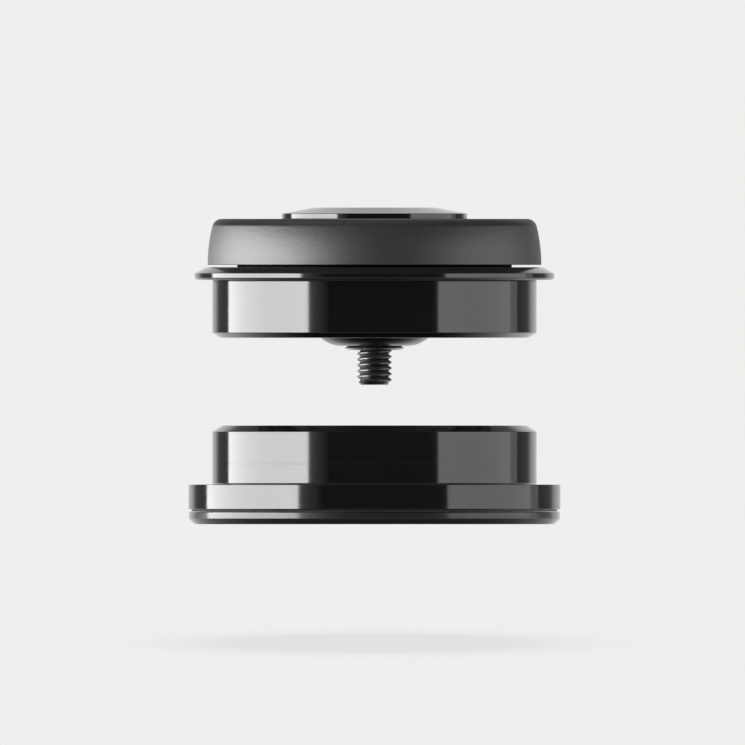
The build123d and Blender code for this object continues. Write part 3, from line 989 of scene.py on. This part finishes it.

# %% [markdown]
# The floor is the same paper. It glows with most of its colour and takes the rest from a broad lamp
# overhead, so the shadow under the part is soft and faint. A mirror sees the paper too, but close under
# the part the glow that mirrors see fades out: that is a painted shade, a ring round the axis where the
# part's own shade would fall. The camera looks level, and from there a level floor would be a thin
# line, so the sheet slopes up gently towards the back, as a paper sweep does. No rays are aimed at its
# glow, for the same reason as at the world.

# %% Floor
FLOOR_HEIGHT = -27.4 * MM
FLOOR_SLOPE = Matrix.Rotation(math.radians(3.3), 3, "X")
FLOOR_REACH = 0.16
FLOOR_ALBEDO = 0.11
GLOW_SHARE = 0.86
# radii between which the painted shade under the part fades out
PAINTED_SHADE_START = 35 * MM
PAINTED_SHADE_END = 90 * MM

floor = bmesh.new()
bmesh.ops.create_grid(floor, x_segments=1, y_segments=1, size=FLOOR_REACH)
bmesh.ops.rotate(floor, verts=floor.verts, cent=(0, 0, 0), matrix=FLOOR_SLOPE)
bmesh.ops.translate(floor, verts=floor.verts, vec=(0, 0, FLOOR_HEIGHT))
paper = bpy.data.materials.new("paper")
paper.cycles.emission_sampling = "NONE"
tree = empty_tree(paper)
level = vector_node(tree, "MULTIPLY", object_place(tree))
level.inputs[1].default_value = (1, 1, 0)  # drops the height
away = vector_node(tree, "LENGTH", level.outputs["Vector"]).outputs["Value"]
# painted shade: 0 near the axis, 1 far out; it dims the glow that mirrors see
outside_painted_shade = spread(tree, away, PAINTED_SHADE_START, PAINTED_SHADE_END)
ray = tree.nodes.new("ShaderNodeLightPath").outputs
mirror_share = math_node(tree, "MULTIPLY", mirror_rays(tree, ray), outside_painted_shade)
seen_share = math_node(tree, "MAXIMUM", ray["Is Camera Ray"], mirror_share)
glow = tree.nodes.new("ShaderNodeEmission")
glow.inputs["Color"].default_value = (*PAPER, 1)
tree.links.new(math_node(tree, "MULTIPLY", seen_share, GLOW_SHARE), glow.inputs["Strength"])
matt = tree.nodes.new("ShaderNodeBsdfDiffuse")
matt.inputs["Color"].default_value = (*(FLOOR_ALBEDO * tone / PAPER[0] for tone in PAPER), 1)
both = tree.nodes.new("ShaderNodeAddShader")
tree.links.new(glow.outputs["Emission"], both.inputs[0])
tree.links.new(matt.outputs["BSDF"], both.inputs[1])
tree.links.new(both.outputs["Shader"], tree.nodes.new("ShaderNodeOutputMaterial").inputs["Surface"])
stage_sheet(floor, "paper_floor", paper)
print("floor at", round(FLOOR_HEIGHT / MM, 1), "mm")

# %% [markdown]
# The lamp is a sun with a very wide disc, because the wider the disc is, the softer is the border of
# the shadow. Its strength is worked out so that the glow and the lit paper add up to the colour of the
# paper. Mirrors should show the soft boxes alone, so the lamp is kept out of them.

# %% Lamp above the floor
LAMP_SPREAD = math.radians(38)

overhead = bpy.data.lights.new("overhead", "SUN")
overhead.angle = LAMP_SPREAD
overhead.energy = math.pi * ((1 - GLOW_SHARE) * PAPER[0] / FLOOR_ALBEDO - ROOM_LIGHT)
overhead_lamp = bpy.data.objects.new("overhead", overhead)
overhead_lamp.visible_glossy = False
bpy.context.scene.collection.objects.link(overhead_lamp)
print("lamp", round(overhead.energy, 2))

# %% [markdown]
# The two halves are photographed one at a time and set on the page together, as catalogues do. So the
# chamfer under the upper cup shows the paper and not the half below it. A switch on each object keeps
# the lower half out of mirror rays. The floor and the soft boxes reach lower than the part, and that
# tells them apart. The price is small: the pieces of the lower half don't show in each other either.

# %% Keep the lower half out of mirrors
BETWEEN_HALVES = 15 * MM

unmirrored = []
for thing in bpy.context.scene.objects:
    heights = [(thing.matrix_world @ Vector(corner)).z for corner in thing.bound_box]
    in_lower_half = min(heights) > cad_low.z - MM and max(heights) < BETWEEN_HALVES
    if thing.type == "MESH" and in_lower_half:
        thing.visible_glossy = False
        unmirrored.append(thing.name)
print("out of mirrors:", ", ".join(unmirrored))

# %% [markdown]
# ## Camera
#
# The flange edges in the picture are all but straight lines, on both halves of the part. Only a level
# camera with next to no perspective shows them like that, so it is orthographic.

# %% Camera
PICTURE_WIDTH = 128.56 * MM
CAMERA_PLACE = (-0.345 * MM, -350 * MM, 19.33 * MM)
CAMERA_TURN = (math.radians(90), 0, 0)
NEAREST = 10 * MM

camera = bpy.data.cameras.new("camera")
camera.type = "ORTHO"
camera.ortho_scale = PICTURE_WIDTH
camera.clip_start = NEAREST
camera_stand = bpy.data.objects.new("camera", camera)
camera_stand.location = CAMERA_PLACE
camera_stand.rotation_euler = CAMERA_TURN
bpy.context.scene.collection.objects.link(camera_stand)
bpy.context.scene.camera = camera_stand
bpy.context.scene.view_settings.view_transform = "Standard"
print("camera sees", round(PICTURE_WIDTH / MM, 1), "mm")
